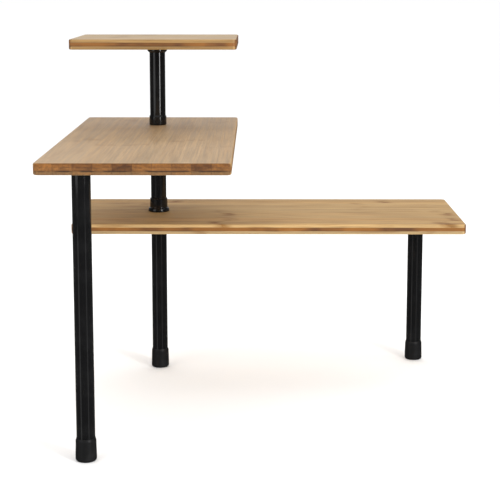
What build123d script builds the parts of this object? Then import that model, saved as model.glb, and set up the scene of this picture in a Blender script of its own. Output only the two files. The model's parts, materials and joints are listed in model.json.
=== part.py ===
"""Three-tier corner desk hutch: bamboo shelves that swivel on one post of black steel tube.

The origin is on the desk top, under the corner post's axis. +X runs along the lower shelf,
-Y runs along the middle shelf towards the user, and +Z is up. All sizes are in millimetres.
"""
from build123d import *
import os

# ---- driving dimensions ---------------------------------------------------------------------
# shelves
board = 14                 # thickness of every bamboo panel
shelf_width = 225          # lower and middle shelf, across the grain
shelf_length = 540         # lower and middle shelf, along the grain
top_width = 228            # top shelf, along X
top_depth = 180            # top shelf, along Y
plan_corner = 6            # corner radius seen from above
edge_round = 2             # roundover of the long top and bottom edges

# steel tube
tube_r = 11                # 22 mm tube
tube_wall = 1.2
section = 111              # clear height between one shelf and the next
leg_height = 217           # desk top to the underside of the lower shelf

# legs, measured from the corner post's axis
front_leg_xy = (-60, -407)
right_leg_xy = (376, 44)
post_xy = (0, 0)

# push-on feet, slightly wider at the sole
foot_r = 12.6
foot_neck_r = 12.2         # just under the shoulder
foot_rim_r = 11.3          # at the open top
foot_height = 28
foot_shoulder = 3          # height of the sloping shoulder
foot_floor = 3             # thickness under the tube's end
foot_round = 3
foot_straight = 6          # height at which the wall starts to draw in

# M8 hardware
stud_r = 4
stud_chamfer = 0.8
thread_fit = 0.05          # radial room between a stud and its thread
running_fit = 0.08         # radial room at the two swivels
slip_fit = 0.05            # radial room of plugs, caps and collars on the tube
plug_length = 14
plug_chamfer = 1
insert_r = 6
insert_length = 12
insert_lip_r = 7
insert_lip = 1
thread_spare = 2           # thread left free beyond the tip of a stud

# collars that hide the tube ends
thin_edge = 0.35           # how far a collar's feathered end stands off the tube
collar_height = 20
collar_neck_r = 12.5
collar_taper = 1.5
ring_r = 15.2              # the collar's foot is a ring with a bulging face
ring_top_r = 14
ring_height = 5.5
ring_base_round = 1.2
ring_cove = 1.2            # hollow between the ring and the collar's straight side
sleeve_base_r = 12.4
sleeve_neck_r = 12.2
sleeve_base_round = 1.3
sleeve_height = 11.5
sleeve_taper = 2.5
sleeve_lift = 0.1          # the sleeve stops this far above the face of its washer
flange_r = 13.8
flange_neck_r = 11.5
flange_round = 0.6
flange_rim = 4.2
flange_taper = 2.4
flange_web = 3             # metal between the tube's end and the top of the flange

# swivels
washer = 1                 # nylon washer above and below a turning shelf
swivel_gap = 0.2           # air between a turning shelf and each washer
bush_r = 7
washer_inset = 0.1         # a post's washers are this much smaller than the tube
top_washer_inset = 0.5     # and the top washer this much smaller than the flange

# ---- levels that follow ---------------------------------------------------------------------
lower_z = leg_height                       # undersides of the three shelves
middle_z = lower_z + board + section
top_z = middle_z + board + section
shelf_start = -shelf_width / 2             # the corner square is centred on the post
shelf_middle = shelf_start + shelf_length / 2

middle_post_z = (lower_z + board, middle_z - swivel_gap - washer)
upper_post_z = (middle_z + board + swivel_gap + washer, top_z - swivel_gap - washer - flange_web)
low_washer_z = middle_post_z[1]
high_washer_z = middle_z + board + swivel_gap
top_washer_z = top_z - swivel_gap - washer

os.makedirs("parts", exist_ok=True)

UP = (Align.CENTER, Align.CENTER, Align.MIN)
DOWN = (Align.CENTER, Align.CENTER, Align.MAX)


def save(piece, name):
    """Label a finished piece and write it as its own file."""
    piece.part.label = name
    export_step(piece.part, f"parts/{name}.step")


def level(xy, z):
    """Horizontal plane at height z with its origin at xy."""
    return Plane(origin=(xy[0], xy[1], z))


# ---- shelves --------------------------------------------------------------------------------
def round_edges(piece):
    """Soften the long edges round the top and bottom faces of a panel."""
    top = piece.faces().sort_by(Axis.Z)[-1]
    bottom = piece.faces().sort_by(Axis.Z)[0]
    fillet(top.edges() + bottom.edges(), edge_round)


def insert_pocket(xy, z):
    """Cut the blind pocket of a threaded insert into the panel whose underside is at z."""
    with Locations((xy[0], xy[1], z)):
        Cylinder(insert_r + slip_fit, insert_length + slip_fit, align=UP, mode=Mode.SUBTRACT)
        Cylinder(insert_lip_r + slip_fit, insert_lip + slip_fit, align=UP, mode=Mode.SUBTRACT)


# runs right from the corner, fixed between the corner leg and the middle post
with BuildPart() as lower_shelf:
    with BuildSketch(level((shelf_middle, 0), lower_z)):
        RectangleRounded(shelf_length, shelf_width, plan_corner)
    extrude(amount=board)
    round_edges(lower_shelf)
    with Locations((0, 0, lower_z)):
        Cylinder(stud_r + thread_fit, board, align=UP, mode=Mode.SUBTRACT)
    insert_pocket(right_leg_xy, lower_z)
save(lower_shelf, "lower_shelf")

# runs towards the user from the corner, turns on the bush round the middle stud
with BuildPart() as middle_shelf:
    with BuildSketch(level((0, -shelf_middle), middle_z)):
        RectangleRounded(shelf_width, shelf_length, plan_corner)
    extrude(amount=board)
    round_edges(middle_shelf)
    with Locations((0, 0, middle_z)):
        Cylinder(bush_r + running_fit, board, align=UP, mode=Mode.SUBTRACT)
    insert_pocket(front_leg_xy, middle_z)
save(middle_shelf, "middle_shelf")

# small shelf centred on the post, turns on the top stud
with BuildPart() as top_shelf:
    with BuildSketch(level(post_xy, top_z)):
        RectangleRounded(top_width, top_depth, plan_corner)
    extrude(amount=board)
    round_edges(top_shelf)
    insert_pocket(post_xy, top_z)
save(top_shelf, "top_shelf")


# ---- steel tubes ----------------------------------------------------------------------------
def make_tube(name, xy, z_start, z_end):
    """One length of tube standing at xy."""
    with BuildPart() as tube:
        with BuildSketch(level(xy, z_start)):
            Circle(tube_r)
            Circle(tube_r - tube_wall, mode=Mode.SUBTRACT)
        extrude(amount=z_end - z_start)
    save(tube, name)


make_tube("lower_post", post_xy, foot_floor, lower_z)
make_tube("middle_post", post_xy, *middle_post_z)
make_tube("upper_post", post_xy, *upper_post_z)
make_tube("right_leg", right_leg_xy, foot_floor, lower_z)
make_tube("front_leg", front_leg_xy, foot_floor, middle_z)


# ---- feet -----------------------------------------------------------------------------------
def make_foot(name, xy):
    """Push-on cap turned about the leg's axis, with a rounded sole and a sloping shoulder."""
    side = Plane(origin=(xy[0], xy[1], 0), x_dir=(1, 0, 0), z_dir=(0, -1, 0))
    with BuildPart() as foot:
        with BuildSketch(side):
            with BuildLine():
                sole = Line((0, 0), (foot_r - foot_round, 0))
                edge = TangentArc(sole @ 1, (foot_r, foot_round), tangent=(1, 0))
                Polyline(
                    edge @ 1,
                    (foot_r, foot_straight),
                    (foot_neck_r, foot_height - foot_shoulder),
                    (foot_rim_r, foot_height),
                    (tube_r + slip_fit, foot_height),
                    (tube_r + slip_fit, foot_floor),
                    (0, foot_floor),
                    (0, 0),
                )
            make_face()
        revolve(axis=Axis((xy[0], xy[1], 0), (0, 0, 1)))
    save(foot, name)


make_foot("corner_foot", post_xy)
make_foot("right_foot", right_leg_xy)
make_foot("front_foot", front_leg_xy)


# ---- collars round the post -----------------------------------------------------------------
# turned collar with a ring for a foot, where the middle post stands on the lower shelf
with BuildPart() as lower_collar:
    with BuildSketch(Plane(origin=(0, 0, middle_post_z[0]), x_dir=(1, 0, 0), z_dir=(0, -1, 0))):
        with BuildLine():
            sole = Line((tube_r + slip_fit, 0), (ring_r - ring_base_round, 0))
            edge = TangentArc(sole @ 1, (ring_r, ring_base_round), tangent=(1, 0))
            face = TangentArc(edge @ 1, (ring_top_r, ring_height), tangent=(0, 1))
            cove_top = (ring_top_r - ring_cove, ring_height + ring_cove)
            cove = TangentArc(face @ 1, cove_top, tangent=(-1, 0))
            Polyline(
                cove @ 1,
                (collar_neck_r, collar_height - collar_taper),
                (tube_r + thin_edge, collar_height),
                (tube_r + slip_fit, collar_height),
                sole @ 0,
            )
        make_face()
    revolve(axis=Axis.Z)
save(lower_collar, "lower_collar")

# sleeve at the foot of the upper post, just clear of the turning middle shelf
with BuildPart() as upper_sleeve:
    sleeve_z = high_washer_z + sleeve_lift
    neck_z = sleeve_z + sleeve_height
    with BuildSketch(level(post_xy, sleeve_z)):
        Circle(sleeve_base_r)
    with BuildSketch(level(post_xy, neck_z)):
        Circle(sleeve_neck_r)
    with BuildSketch(level(post_xy, neck_z + sleeve_taper)):
        Circle(tube_r + thin_edge)
    loft(ruled=True)
    fillet(upper_sleeve.edges().sort_by(Axis.Z)[0], sleeve_base_round)
    with Locations((0, 0, sleeve_z)):
        Cylinder(tube_r + slip_fit, sleeve_height + sleeve_taper, align=UP, mode=Mode.SUBTRACT)
save(upper_sleeve, "upper_sleeve")

# flanged cap on the upper post, the seat of the top shelf
with BuildPart() as top_flange:
    rim_z = top_washer_z - flange_rim
    with BuildSketch(level(post_xy, rim_z - flange_taper)):
        Circle(flange_neck_r)
    with BuildSketch(level(post_xy, rim_z)):
        Circle(flange_r)
    loft()
    with BuildSketch(level(post_xy, rim_z)):
        Circle(flange_r)
    extrude(amount=flange_rim)
    fillet(top_flange.edges().sort_by(Axis.Z)[-1], flange_round)
    with Locations((0, 0, upper_post_z[1])):
        Cylinder(tube_r + slip_fit, flange_rim + flange_taper, align=DOWN, mode=Mode.SUBTRACT)
        Cylinder(stud_r + thread_fit, flange_web, align=UP, mode=Mode.SUBTRACT)
save(top_flange, "top_flange")


# ---- threaded hardware inside the tubes and panels ------------------------------------------
def make_plug(name, xy, z_end, upward):
    """Threaded plug pressed into a tube, its outer face flush with the tube's end at z_end."""
    z_start = z_end - plug_length if upward else z_end
    with BuildPart() as plug:
        with BuildSketch(level(xy, z_start)):
            Circle(tube_r - tube_wall - slip_fit)
        extrude(amount=plug_length)
        lead_in = 0 if upward else -1
        chamfer(plug.edges().sort_by(Axis.Z)[lead_in], plug_chamfer)
        with Locations((xy[0], xy[1], z_start)):
            Cylinder(stud_r + thread_fit, plug_length, align=UP, mode=Mode.SUBTRACT)
    save(plug, name)


def make_stud(name, xy, z_start, z_end):
    """Length of M8 stud with chamfered ends."""
    with BuildPart() as stud:
        with BuildSketch(level(xy, z_start)):
            Circle(stud_r)
        extrude(amount=z_end - z_start)
        chamfer(stud.edges().filter_by(GeomType.CIRCLE), stud_chamfer)
    save(stud, name)


def make_insert(name, xy, z, bore_r):
    """Flanged threaded insert, flush with the underside of the panel at z."""
    with BuildPart() as insert:
        with BuildSketch(level(xy, z)):
            Circle(insert_r)
        extrude(amount=insert_length)
        with BuildSketch(level(xy, z)):
            Circle(insert_lip_r)
        extrude(amount=insert_lip)
        with Locations((xy[0], xy[1], z)):
            Cylinder(bore_r, insert_length, align=UP, mode=Mode.SUBTRACT)
    save(insert, name)


make_plug("lower_post_plug", post_xy, lower_z, True)
make_plug("middle_post_base_plug", post_xy, middle_post_z[0], False)
make_plug("middle_post_top_plug", post_xy, middle_post_z[1], True)
make_plug("upper_post_base_plug", post_xy, upper_post_z[0], False)
make_plug("upper_post_top_plug", post_xy, upper_post_z[1], True)
make_plug("right_leg_plug", right_leg_xy, lower_z, True)
make_plug("front_leg_plug", front_leg_xy, middle_z, True)

grip = plug_length - thread_spare        # how far a stud reaches into a plug
reach = insert_length - thread_spare     # how far a stud reaches into an insert
make_stud("lower_stud", post_xy, lower_z - grip, middle_post_z[0] + grip)
make_stud("middle_stud", post_xy, middle_post_z[1] - grip, upper_post_z[0] + grip)
make_stud("top_stud", post_xy, upper_post_z[1] - grip, top_z + reach)
make_stud("right_leg_stud", right_leg_xy, lower_z - grip, lower_z + reach)
make_stud("front_leg_stud", front_leg_xy, middle_z - grip, middle_z + reach)

make_insert("right_leg_insert", right_leg_xy, lower_z, stud_r + thread_fit)
make_insert("front_leg_insert", front_leg_xy, middle_z, stud_r + thread_fit)
make_insert("top_insert", post_xy, top_z, stud_r + running_fit)


# ---- nylon bearings of the two swivels ------------------------------------------------------
def make_ring(name, z_start, height, outer_r):
    """Flat nylon ring or bush round the M8 stud on the post's axis."""
    with BuildPart() as ring:
        with BuildSketch(level(post_xy, z_start)):
            Circle(outer_r)
            Circle(stud_r + thread_fit, mode=Mode.SUBTRACT)
        extrude(amount=height)
    save(ring, name)


make_ring("middle_bush", low_washer_z + washer, high_washer_z - low_washer_z - washer, bush_r)
make_ring("middle_lower_washer", low_washer_z, washer, tube_r - washer_inset)
make_ring("middle_upper_washer", high_washer_z, washer, tube_r - washer_inset)
make_ring("top_washer", top_washer_z, washer, flange_r - top_washer_inset)
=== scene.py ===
"""Looks of the three-tier corner desk hutch: laminated bamboo shelves on gloss black steel tube.

Every length is in metres, in the frame of the CAD model: +Z up, +X along the lower shelf,
-Y along the middle shelf towards the user, origin on the desk under the corner post.
"""
import json
import math

import bpy
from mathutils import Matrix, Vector


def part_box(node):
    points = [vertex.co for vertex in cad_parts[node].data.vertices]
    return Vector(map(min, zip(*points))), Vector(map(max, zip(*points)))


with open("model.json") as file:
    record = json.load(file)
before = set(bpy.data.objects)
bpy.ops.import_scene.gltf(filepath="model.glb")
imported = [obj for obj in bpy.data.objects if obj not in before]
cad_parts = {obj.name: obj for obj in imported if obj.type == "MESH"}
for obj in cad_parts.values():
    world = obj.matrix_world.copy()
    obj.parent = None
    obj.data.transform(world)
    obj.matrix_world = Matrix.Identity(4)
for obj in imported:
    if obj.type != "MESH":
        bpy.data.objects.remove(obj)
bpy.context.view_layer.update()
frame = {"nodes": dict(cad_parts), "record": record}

# ---- camera ---------------------------------------------------------------------------------
CAMERA_PLACE = (0.1399, -1.9811, 0.5583)
CAMERA_PITCH = math.radians(8.93)      # below the horizon
CAMERA_YAW = math.radians(0.24)        # to the left
CAMERA_LENS = 100.1                    # mm on a 36 mm sensor
CAMERA_SHIFT = -0.1
CAMERA_REACH = (0.05, 500)             # nearest and farthest that the camera sees

# ---- studio ---------------------------------------------------------------------------------
FLOOR_SIZE = 160.0
FLOOR_SHADE = (0.97, 0.97, 0.97, 1)
BACKDROP = 1.05                        # what the camera sees of the room
ROOM_LIGHT = 0.74                      # what lights the surfaces
ROOM_GLOSS = 0.10                      # what the gloss mirrors, dim as between black studio flags
SKY_PANEL = 1.20                       # strength of the wide soft light from above
SKY_ANGLE = math.radians(100)          # its width
SKY_TILT = (math.radians(24), math.radians(10), 0)
SOFTBOXES = (    # name, degrees to the right of the camera's side, distance, height, size, watts
    ("left softbox", -45, 2.3, 0.84, (1.20, 1.62), 9),
    ("right softbox", 38, 2.3, 0.86, (0.30, 1.48), 26),
    ("back softbox", 180, 1.2, 1.90, (3.00, 1.20), 24),
    ("back wall", 180, 2.4, 1.10, (5.00, 1.20), 15),
    # two low cards give the legs their faint highlights
    ("left card", -41, 2.3, -0.62, (0.50, 1.10), 1.4),
    ("right card", 38, 2.3, -0.62, (0.40, 1.10), 0.9),
)

# ---- bamboo panels --------------------------------------------------------------------------
STRIP = 0.0225                         # width of one strip
PLY_SHIFT = 0.37                       # how far the strips step sideways from ply to ply, in strips
BOARD_SHIFT = 3.1                      # how far apart along the canes two boards are cut
BATCH = 3.0                            # neighbouring strips whose cane joints lie close together
KNUCKLE_STEP = 0.31                    # distance between the joints of one cane
KNUCKLE_SCATTER = 0.08                 # scatter of the joints in a batch, in steps
KNUCKLE_SWING = 0.005                  # how far a joint's line waves to each side
KNUCKLE_LINE = 0.85                    # strength of a joint's line
KNUCKLE_SMUDGE = 0.70                  # and of the smudge round it
GLUE_LINE = 0.00035                    # width of the line between two strips
FACE_GLUE = 0.26                       # strength of that line on faces and long edges
END_GLUE = 0.5                         # and on the cut ends
PLY_LINE = (0.0005, 0.0013)            # where the line between two plies starts and ends to fade
UPPER_PLY_LINE = 0.35                  # strength of the upper one against the lower
ARRIS = 0.8                            # strength of the dark line along the top of the cut ends
LACQUER_ROUGHNESS = (0.48, 0.58)
END_ROUGHNESS = 0.22                   # added on the cut ends
LACQUER_IOR = 1.45
RELIEF = 0.00008                       # height of the fibres
HAIR_RELIEF = 0.6                      # relief of the hairs and depth of the glue lines against it
LINE_RELIEF = 1.5
BATCH_SEED = 4.0                       # keep batches and end blocks from repeating the strips
BLOCK_SEED = 9.0

# grain_axis is that of the outer plies, 0 for X and 1 for Y. figure is the contrast between strips,
# and dullness is extra roughness of the lacquer. The face and edge tints are partly each board's
# own colour and partly painted light. The edges are tinted apart from the faces to paint how
# differently they are lit, and the bluer, greyer faces of the middle and top shelves are painted
# sheen.
SHELVES = {
    "lower_shelf": {
        "grain_axis": 0, "seed": 1, "figure": 1.4, "dullness": 0.22,
        "face_tint_and_painted_sheen": (1.00, 0.98, 0.82, 1), "edge_tint_and_painted_light": (1.20, 1.28, 1.28, 1),
    },
    "middle_shelf": {
        "grain_axis": 1, "seed": 2, "figure": 0.4, "dullness": 0.0,
        "face_tint_and_painted_sheen": (0.93, 0.95, 1.04, 1), "edge_tint_and_painted_light": (0.97, 0.91, 0.70, 1),
    },
    "top_shelf": {
        "grain_axis": 0, "seed": 3, "figure": 0.9, "dullness": 0.0,
        "face_tint_and_painted_sheen": (0.99, 1.06, 1.14, 1), "edge_tint_and_painted_light": (0.89, 0.82, 0.62, 1),
    },
}

# sizes of the bamboo's features along, across and through the strips
FIBRE = (0.11, 0.0021, 0.0021)
HAIR = (0.024, 0.0005, 0.0005)
DRIFT = (0.25, 0.030, 0.030)
STREAK = (0.075, 0.0060, 0.0060)
KNUCKLE_WAVE = (0.03, 0.007, 0.007)
KNUCKLE_PATCH = (0.02, 0.009, 0.009)
# sizes across, along and through the strips, for the middle ply's uneven colour
CORE_PATCH = (0.028, 0.055, 0.05)
# sizes across and up the cut ends
END_MOTTLE = (0.012, 0.0030, 1.0)
END_DOTS = (0.0012, 0.0009, 1.0)

STRAW = (0.440, 0.290, 0.142, 1)       # lighter strips
TAN = (0.395, 0.250, 0.114, 1)         # darker strips
HONEY = (1.05, 0.94, 0.78, 1)          # warm tint of some strips
KNUCKLE = (0.225, 0.102, 0.026, 1)
CARAMEL = (0.255, 0.098, 0.015, 1)     # the middle ply, steamed darker
RUSSET = (0.130, 0.048, 0.011, 1)
END_GOLD = (0.305, 0.126, 0.026, 1)    # cut ends of the outer strips, lightest
END_BROWN = (0.066, 0.020, 0.002, 1)   # and darkest
END_PALE = (0.170, 0.102, 0.050, 1)    # cut ends of the lower ply
CHAR = (0.035, 0.014, 0.004, 1)        # glue lines

# ---- steel and plastic ----------------------------------------------------------------------
COAT = (0.0045, 0.0045, 0.0048, 1)
COAT_DUST = (0.009, 0.009, 0.0094, 1)
COAT_ROUGHNESS = (0.07, 0.12)
DUST_ROUGHNESS = 0.06                  # added where dust lies
COAT_IOR = 1.4
ORANGE_PEEL = 0.00003                  # height of the peel
FOOT_SHADE = (0.0085, 0.0085, 0.0088)
FOOT_ROUGHNESS = 0.38
NYLON_SHADE = (0.022, 0.022, 0.022)
NYLON_ROUGHNESS = 0.48
SCUFF = 1.8                            # how much lighter scuffed plastic is
PLASTIC_IOR = 1.24
PLASTIC_GRAIN = 0.00005                # height of the moulded grain
ZINC_DARK = (0.58, 0.59, 0.60, 1)
ZINC_LIGHT = (0.72, 0.72, 0.70, 1)
ZINC_ROUGHNESS = (0.24, 0.38)
TURNING_MARKS = 0.00002                # height of the marks


class Shader:
    """A node material, built up by short calls that return sockets."""

    def __init__(self, name):
        self.material = bpy.data.materials.new(name)
        self.material.use_nodes = True
        self.tree = self.material.node_tree
        self.tree.nodes.clear()
        self.surface = self.tree.nodes.new("ShaderNodeBsdfPrincipled")
        output = self.tree.nodes.new("ShaderNodeOutputMaterial")
        self.tree.links.new(self.surface.outputs["BSDF"], output.inputs["Surface"])

    def put(self, socket, value):
        """Link a socket to the input, or set the input to a plain value."""
        if isinstance(value, bpy.types.NodeSocket):
            self.tree.links.new(value, socket)
        else:
            socket.default_value = value

    def node(self, kind, inputs, **settings):
        """Add a node; inputs maps an input's name or number to a socket or a value."""
        made = self.tree.nodes.new(kind)
        for key, value in settings.items():
            setattr(made, key, value)
        for key, value in inputs.items():
            self.put(made.inputs[key], value)
        return made

    def set(self, **inputs):
        """Set the surface shader's inputs, with spaces written as underscores."""
        for key, value in inputs.items():
            self.put(self.surface.inputs[key.replace("_", " ")], value)

    def coordinates(self):
        return self.node("ShaderNodeTexCoord", {}).outputs

    def math(self, operation, *values):
        inputs = dict(enumerate(values))
        return self.node("ShaderNodeMath", inputs, operation=operation).outputs[0]

    def product(self, first, *others):
        for other in others:
            first = self.math("MULTIPLY", first, other)
        return first

    def largest(self, first, *others):
        for other in others:
            first = self.math("MAXIMUM", first, other)
        return first

    def colour(self, factor, first, second, how="MIX"):
        """Colour that runs from first to second, or is blended as how says."""
        inputs = {0: factor, 6: first, 7: second}
        made = self.node("ShaderNodeMix", inputs, data_type="RGBA", blend_type=how)
        return made.outputs[2]

    def span(self, value, low, high, out_low=0.0, out_high=1.0, smooth=False):
        """Carry value from the range low..high to out_low..out_high, clamped."""
        kind = "SMOOTHSTEP" if smooth else "LINEAR"
        inputs = {0: value, 1: low, 2: high, 3: out_low, 4: out_high}
        return self.node("ShaderNodeMapRange", inputs, interpolation_type=kind).outputs[0]

    def sway(self, noise, out_low, out_high):
        """Carry the middle of a noise's range to out_low..out_high."""
        return self.span(noise, 0.3, 0.7, out_low, out_high)

    def vector(self, x, y, z):
        return self.node("ShaderNodeCombineXYZ", {0: x, 1: y, 2: z}).outputs[0]

    def parts(self, vector):
        return self.node("ShaderNodeSeparateXYZ", {0: vector}).outputs

    def noise(self, vector, scale=1.0, detail=2.0, roughness=0.5):
        inputs = {"Vector": vector, "Scale": scale, "Detail": detail, "Roughness": roughness}
        return self.node("ShaderNodeTexNoise", inputs).outputs[0]

    def stretched(self, x, y, z, sizes, detail=2.0):
        """Noise whose features measure about sizes, in metres, along the three directions."""
        scaled = [self.math("DIVIDE", v, size) for v, size in zip((x, y, z), sizes)]
        return self.noise(self.vector(*scaled), detail=detail)

    def dice(self, x, y, z):
        """Three random numbers that are the same for equal x, y and z."""
        inputs = {"Vector": self.vector(x, y, z)}
        made = self.node("ShaderNodeTexWhiteNoise", inputs, noise_dimensions="3D")
        return self.parts(made.outputs["Color"])

    def bump(self, height, distance, strength=1.0):
        inputs = {"Height": height, "Distance": distance, "Strength": strength}
        self.set(Normal=self.node("ShaderNodeBump", inputs).outputs[0])


# ---- bamboo ---------------------------------------------------------------------------------
class Panel:
    """Where a shaded point lies in a three-ply shelf, as sockets of the shelf's shader."""

    def __init__(self, sh, shelf, grain_axis, seed):
        low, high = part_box(shelf)
        cross_axis = 1 - grain_axis
        coordinates = sh.coordinates()
        place = sh.parts(coordinates["Object"])
        facing = [sh.math("ABSOLUTE", part) for part in sh.parts(coordinates["Normal"])]
        self.sh = sh
        self.seed = seed
        self.ply_height = (high[2] - low[2]) / 3
        self.upward = facing[2]        # 1 on the faces and 0 on the edges
        self.end_face = sh.span(facing[grain_axis], 0.40, 0.75, smooth=True)

        self.height = sh.math("SUBTRACT", place[2], low[2])
        self.run = sh.math("ADD", place[grain_axis], BOARD_SHIFT * seed)
        self.side = sh.math("SUBTRACT", place[cross_axis], low[cross_axis])
        self.ply = sh.math("FLOOR", sh.span(self.height, 0.0, 3 * self.ply_height, 0.02, 2.98))
        self.middle = sh.math("COMPARE", self.ply, 1.0, 0.1)
        self.above_lower = sh.math("GREATER_THAN", self.ply, 0.5)

        # strips are counted across the panel, and step sideways from ply to ply
        self.end_lane = sh.math("DIVIDE", self.side, STRIP)
        self.lane = sh.math("ADD", self.end_lane, sh.math("MULTIPLY", self.ply, PLY_SHIFT))
        strip = sh.math("FLOOR", self.lane)
        batch = sh.math("FLOOR", sh.math("DIVIDE", strip, BATCH))
        self.strip_luck = sh.dice(strip, self.ply, float(seed))
        self.batch_luck = sh.dice(batch, self.ply, seed + BATCH_SEED)

        self.fibre = self.grain(FIBRE, 3.0)
        self.hair = self.grain(HAIR)
        self.patch = sh.stretched(self.side, self.run, self.height, CORE_PATCH)

    def grain(self, sizes, detail=2.0):
        """Noise with features of these sizes along, across and through the strips."""
        return self.sh.stretched(self.run, self.side, self.height, sizes, detail)


def knuckles(sh, panel):
    """Mask of the cane's joints: a thin wavy line in a soft smudge."""
    start = sh.math("MULTIPLY_ADD", panel.strip_luck[2], KNUCKLE_SCATTER, panel.batch_luck[2])
    step = sh.math("FRACT", sh.math("ADD", sh.math("DIVIDE", panel.run, KNUCKLE_STEP), start))
    gap = sh.math("MULTIPLY", sh.math("SUBTRACT", step, 0.5), KNUCKLE_STEP)
    wave = sh.span(panel.grain(KNUCKLE_WAVE, 3.0), 0.25, 0.75, -KNUCKLE_SWING, KNUCKLE_SWING)
    gap = sh.math("ABSOLUTE", sh.math("ADD", gap, wave))
    line = sh.span(gap, 0.0003, 0.0026, KNUCKLE_LINE, 0.0, smooth=True)
    smudge = sh.span(gap, 0.001, 0.016, KNUCKLE_SMUDGE, 0.0, smooth=True)
    patchy = sh.span(panel.grain(KNUCKLE_PATCH), 0.36, 0.6, 0.1, 1.0)
    by_strip = sh.span(panel.strip_luck[1], 0.15, 0.5, 0.25, 1.0)
    return sh.product(sh.largest(line, smudge), patchy, by_strip)


def strips(sh, panel, figure):
    """Colour of the outer plies, where each strip has a shade of its own."""
    own = sh.span(panel.strip_luck[0], 0.0, 1.0, 0.5 - 0.5 * figure, 0.5 + 0.5 * figure)
    warmth = sh.span(panel.strip_luck[1], 0.2, 1.0, 0.0, 0.7 * figure)
    streak = sh.span(panel.grain(STREAK, 3.0), 0.52, 0.68, 0.0, 0.38 * figure)
    tone = sh.colour(own, TAN, STRAW)
    tone = sh.colour(warmth, tone, HONEY, "MULTIPLY")
    tone = sh.colour(streak, tone, KNUCKLE)
    return sh.colour(sh.product(knuckles(sh, panel), figure), tone, KNUCKLE)


def core(sh, panel):
    """Colour of the middle ply, steamed darker in uneven lengths."""
    tone = sh.colour(sh.span(panel.patch, 0.34, 0.50), RUSSET, CARAMEL)
    return sh.colour(sh.span(panel.patch, 0.60, 0.70, 0.0, 0.7), tone, END_GOLD)


def cut_ends(sh, panel):
    """Colour of the strips' cut ends: brown and gold blocks over a paler lower ply."""
    strip = sh.math("FLOOR", panel.end_lane)
    block = sh.dice(strip, panel.above_lower, panel.seed + BLOCK_SEED)[0]
    across_and_up = (panel.side, panel.height, panel.above_lower)
    mottle = sh.span(sh.stretched(*across_and_up, END_MOTTLE, 1.0), 0.38, 0.64, 0.02, 0.34)
    dots = sh.span(sh.stretched(*across_and_up, END_DOTS, 1.0), 0.50, 0.64, 0.0, 0.5)
    mix = sh.math("ADD", sh.math("MULTIPLY", block, 0.66), mottle)
    pale = sh.colour(sh.math("MULTIPLY", mix, 0.5), END_PALE, END_GOLD)
    tone = sh.colour(panel.above_lower, pale, sh.colour(mix, END_BROWN, END_GOLD))
    return sh.colour(dots, tone, RUSSET)


def dark_lines(sh, panel):
    """Mask of the glue between strips and between plies, and of the cut ends' top arris."""
    ply = panel.ply_height
    to_strip = sh.math("PINGPONG", panel.lane, 0.5)
    to_block = sh.math("PINGPONG", panel.end_lane, 0.5)
    strip_line = sh.span(to_strip, 0.0, GLUE_LINE / STRIP, FACE_GLUE, 0.0)
    strip_line = sh.product(strip_line, sh.math("SUBTRACT", 1.0, panel.end_face))
    block_line = sh.span(to_block, 0.0, 2 * GLUE_LINE / STRIP, END_GLUE, 0.0)
    block_line = sh.product(block_line, panel.end_face)

    # between plies, on the edges only: broken up, and strongest on the cut ends
    to_ply = sh.math("PINGPONG", panel.height, ply / 2)
    to_face = sh.math("PINGPONG", panel.height, 1.5 * ply)
    ply_line = sh.product(
        sh.span(to_ply, *PLY_LINE, 1.0, 0.0),
        sh.span(panel.patch, 0.46, 0.58, 0.85, 0.25),
        sh.span(to_face, 0.5 * ply, 0.6 * ply),
        sh.span(panel.upward, 0.5, 0.2),
        sh.span(panel.height, 1.4 * ply, 1.6 * ply, 1.0, UPPER_PLY_LINE),
        sh.span(panel.end_face, 0.0, 1.0, 0.5, 1.0),
    )
    arris = sh.product(sh.span(panel.height, 2.80 * ply, 2.93 * ply, 0.0, ARRIS), panel.end_face)
    return sh.largest(strip_line, block_line, ply_line, arris)


def bamboo(shelf, grain_axis, seed, figure, dullness, face_tint_and_painted_sheen, edge_tint_and_painted_light):
    """Three-ply bamboo panel with a darker middle ply."""
    sh = Shader(shelf.replace("_", " ") + " bamboo")
    panel = Panel(sh, shelf, grain_axis, seed)
    lines = dark_lines(sh, panel)
    tone = sh.colour(panel.middle, strips(sh, panel, figure), core(sh, panel))
    tone = sh.colour(panel.end_face, tone, cut_ends(sh, panel))
    tone = sh.colour(lines, tone, CHAR)
    # the face and edge tints, part board colour and part painted light, leave out the middle ply
    tint_with_painted_light = sh.colour(sh.span(panel.upward, 0.99, 0.75), face_tint_and_painted_sheen, edge_tint_and_painted_light)
    tone = sh.colour(sh.math("SUBTRACT", 1.0, panel.middle), tone, tint_with_painted_light, "MULTIPLY")
    shade = sh.product(
        sh.sway(panel.fibre, 0.77, 1.16),
        sh.sway(panel.hair, 0.90, 1.07),
        sh.sway(panel.grain(DRIFT, 3.0), 0.92, 1.07),
    )
    sh.set(Base_Color=sh.colour(1.0, tone, sh.vector(shade, shade, shade), "MULTIPLY"))

    smooth, rough = LACQUER_ROUGHNESS
    lacquer = sh.sway(panel.fibre, smooth + dullness, rough + dullness)
    raw = sh.math("MULTIPLY", panel.end_face, END_ROUGHNESS)
    sh.set(Roughness=sh.math("ADD", lacquer, raw), IOR=LACQUER_IOR)
    relief = sh.math("ADD", panel.fibre, sh.math("MULTIPLY", panel.hair, HAIR_RELIEF))
    relief = sh.math("SUBTRACT", relief, sh.math("MULTIPLY", lines, LINE_RELIEF))
    sh.bump(relief, RELIEF)
    return sh.material


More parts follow.
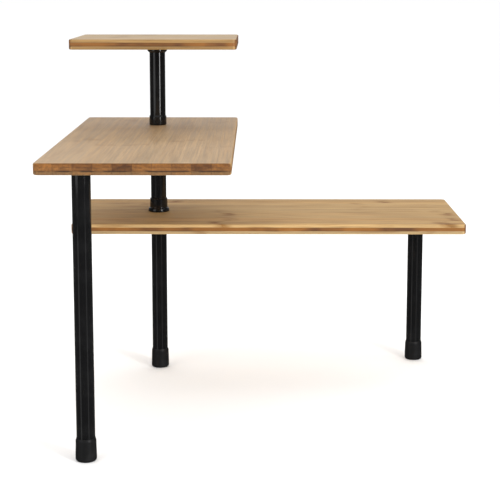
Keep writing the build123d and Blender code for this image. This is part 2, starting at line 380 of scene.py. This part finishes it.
# ---- steel and plastic ----------------------------------------------------------------------
def powder_coat():
    """Gloss black powder coat with faint orange peel and a little dust."""
    sh = Shader("black powder coat")
    spot = sh.coordinates()["Object"]
    dust = sh.noise(spot, 38.0, 5.0, 0.65)
    haze = sh.noise(spot, 9.0, 3.0)
    peel = sh.noise(spot, 620.0, 2.0)
    dusty = sh.span(dust, 0.5, 0.8, 0.0, DUST_ROUGHNESS)
    sh.set(Base_Color=sh.colour(sh.span(dust, 0.48, 0.75), COAT, COAT_DUST), IOR=COAT_IOR)
    sh.set(Roughness=sh.math("ADD", sh.sway(haze, *COAT_ROUGHNESS), dusty))
    sh.bump(peel, ORANGE_PEEL, 0.35)
    return sh.material


def moulded_plastic(name, shade, rough):
    """Matte black moulding with a fine spark-eroded grain."""
    sh = Shader(name)
    spot = sh.coordinates()["Object"]
    grain = sh.noise(spot, 1500.0, 3.0, 0.6)
    wear = sh.noise(spot, 55.0, 4.0, 0.6)
    scuffed = tuple(channel * SCUFF for channel in shade)
    tone = sh.colour(sh.span(wear, 0.45, 0.75), (*shade, 1), (*scuffed, 1))
    sh.set(Base_Color=tone, IOR=PLASTIC_IOR)
    sh.set(Roughness=sh.sway(grain, rough - 0.05, rough + 0.08))
    sh.bump(grain, PLASTIC_GRAIN, 0.5)
    return sh.material


def zinc_plate():
    """Bright zinc plate on turned steel, streaked round the axis."""
    sh = Shader("zinc plate")
    place = sh.parts(sh.coordinates()["Object"])
    turned = sh.stretched(*place, (0.02, 0.02, 0.0004))
    cloud = sh.stretched(*place, (0.006, 0.006, 0.006), 3.0)
    sh.set(Base_Color=sh.colour(cloud, ZINC_DARK, ZINC_LIGHT), Metallic=1.0)
    sh.set(Roughness=sh.sway(turned, *ZINC_ROUGHNESS))
    sh.bump(turned, TURNING_MARKS, 0.4)
    return sh.material


def dress(node, material):
    """Give every material slot of a CAD node the one material."""
    for slot in frame["nodes"][node].material_slots:
        slot.material = material


def dress_all():
    for shelf, settings in SHELVES.items():
        dress(shelf, bamboo(shelf, **settings))
    by_slot = {
        "black_steel": powder_coat(),
        "black_rubber_plastic": moulded_plastic("foot plastic", FOOT_SHADE, FOOT_ROUGHNESS),
        "black_nylon": moulded_plastic("nylon", NYLON_SHADE, NYLON_ROUGHNESS),
        "zinc_steel": zinc_plate(),
    }
    for part in frame["record"]["subparts"]:
        if part["node"] not in SHELVES:
            dress(part["node"], by_slot[part["material_slot"]])


# ---- floor, light and camera ----------------------------------------------------------------
def add_object(name, data):
    made = bpy.data.objects.new(name, data)
    bpy.context.scene.collection.objects.link(made)
    return made


def make_floor():
    half = FLOOR_SIZE / 2
    mesh = bpy.data.meshes.new("floor")
    corners = [(-half, -half, 0), (half, -half, 0), (half, half, 0), (-half, half, 0)]
    mesh.from_pydata(corners, [], [(0, 1, 2, 3)])
    sh = Shader("floor paper")
    sh.set(Base_Color=FLOOR_SHADE, Roughness=0.9, IOR=1.2)
    mesh.materials.append(sh.material)
    floor = add_object("floor", mesh)
    floor.visible_glossy = False       # the tubes mirror a dim studio, not the bright paper


def room_light():
    """White backdrop, softer room light on the surfaces, and dimmer room in their gloss."""
    world = bpy.data.worlds.new("studio")
    world.use_nodes = True
    nodes, links = world.node_tree.nodes, world.node_tree.links
    path = nodes.new("ShaderNodeLightPath")
    background = nodes["Background"]
    background.inputs["Color"].default_value = (1, 1, 1, 1)
    strength = background.inputs["Strength"]
    for ray, level in (("Is Camera Ray", BACKDROP), ("Is Glossy Ray", ROOM_GLOSS)):
        choose = nodes.new("ShaderNodeMix")
        factor, otherwise, chosen = choose.inputs[0], choose.inputs[2], choose.inputs[3]
        otherwise.default_value = ROOM_LIGHT
        chosen.default_value = level
        links.new(path.outputs[ray], factor)
        links.new(choose.outputs[0], strength)
        strength = otherwise
    bpy.context.scene.world = world


def sky_panel():
    """Very wide light from above, the same all over the floor."""
    data = bpy.data.lights.new("sky panel", "SUN")
    data.energy = SKY_PANEL
    data.angle = SKY_ANGLE
    add_object("sky panel", data).rotation_euler = SKY_TILT


def softbox(name, azimuth, distance, height, size, watts):
    """Upright area light that faces the post."""
    data = bpy.data.lights.new(name, "AREA")
    data.shape = "RECTANGLE"
    data.size, data.size_y = size
    data.energy = watts
    turn = math.radians(azimuth)
    place = Vector((math.sin(turn) * distance, -math.cos(turn) * distance, height))
    to_post = Vector((0, 0, height)) - place
    light = add_object(name, data)
    light.location = place
    light.rotation_euler = to_post.to_track_quat("-Z", "Y").to_euler()
    light.visible_camera = False


def make_camera():
    data = bpy.data.cameras.new("camera")
    data.lens = CAMERA_LENS
    data.shift_y = CAMERA_SHIFT
    data.clip_start, data.clip_end = CAMERA_REACH
    camera = add_object("camera", data)
    camera.location = CAMERA_PLACE
    camera.rotation_euler = (math.pi / 2 - CAMERA_PITCH, 0, CAMERA_YAW)
    bpy.context.scene.camera = camera


dress_all()
make_floor()
room_light()
sky_panel()
for settings in SOFTBOXES:
    softbox(*settings)
make_camera()
bpy.context.scene.view_settings.view_transform = "Standard"
